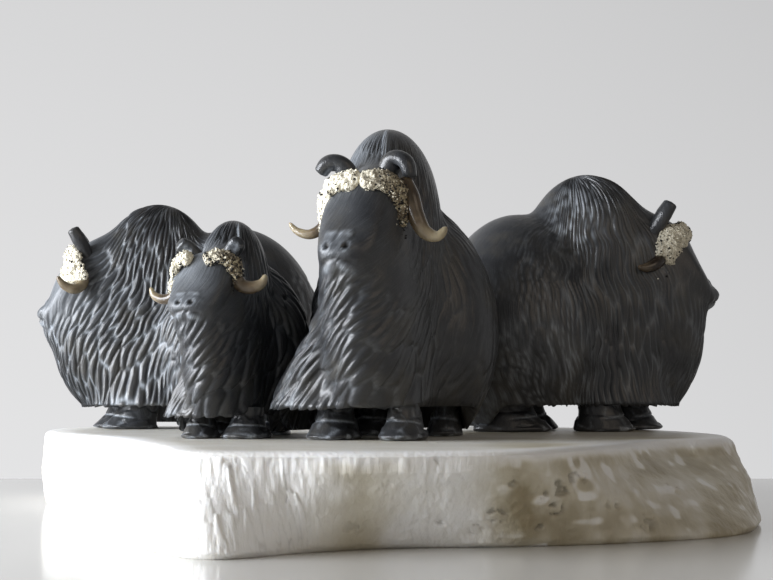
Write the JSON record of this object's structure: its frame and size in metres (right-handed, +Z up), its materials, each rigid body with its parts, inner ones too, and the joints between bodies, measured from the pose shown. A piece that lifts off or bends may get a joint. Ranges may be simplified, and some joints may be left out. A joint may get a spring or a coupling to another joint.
{
  "type": "carved stone muskox group",
  "caption": "Carved dark stone group of muskoxen standing outward in a part circle on a thick pale alabaster slab.",
  "frame": {"origin": "middle of the slab's underside", "axes": "+X to the viewer's right along the slab, -Y towards the viewer, +Z up"},
  "size_m": [0.3907, 0.3694, 0.1902],
  "materials": {
    "dark_stone": "satin-polished blue-grey serpentine with carved hair lines",
    "boss_paste": "rough cream paste with dark grains",
    "amber_horn": "polished translucent amber-brown horn",
    "alabaster": "white fibrous alabaster, polished top and broken sides"
  },
  "bodies": {
    "root": {"base_slab": "alabaster", "lead_head": "dark_stone", "lead_shoulders": "dark_stone", "lead_hindquarters": "dark_stone", "lead_leg_front_left": "dark_stone", "lead_leg_hind_left": "dark_stone", "lead_ear_left": "dark_stone", "lead_boss_left": "boss_paste", "lead_horn_left": "amber_horn", "lead_leg_front_right": "dark_stone", "lead_leg_hind_right": "dark_stone", "lead_ear_right": "dark_stone", "lead_boss_right": "boss_paste", "lead_horn_right": "amber_horn", "young_body": "dark_stone", "young_boss_left": "boss_paste", "young_horn_left": "amber_horn", "young_boss_right": "boss_paste", "young_horn_right": "amber_horn", "leftward_body": "dark_stone", "leftward_boss_left": "boss_paste", "leftward_horn_left": "amber_horn", "leftward_boss_right": "boss_paste", "leftward_horn_right": "amber_horn", "rightward_body": "dark_stone", "rightward_boss_left": "boss_paste", "rightward_horn_left": "amber_horn", "rightward_boss_right": "boss_paste", "rightward_horn_right": "amber_horn"}
  },
  "joints": []
}
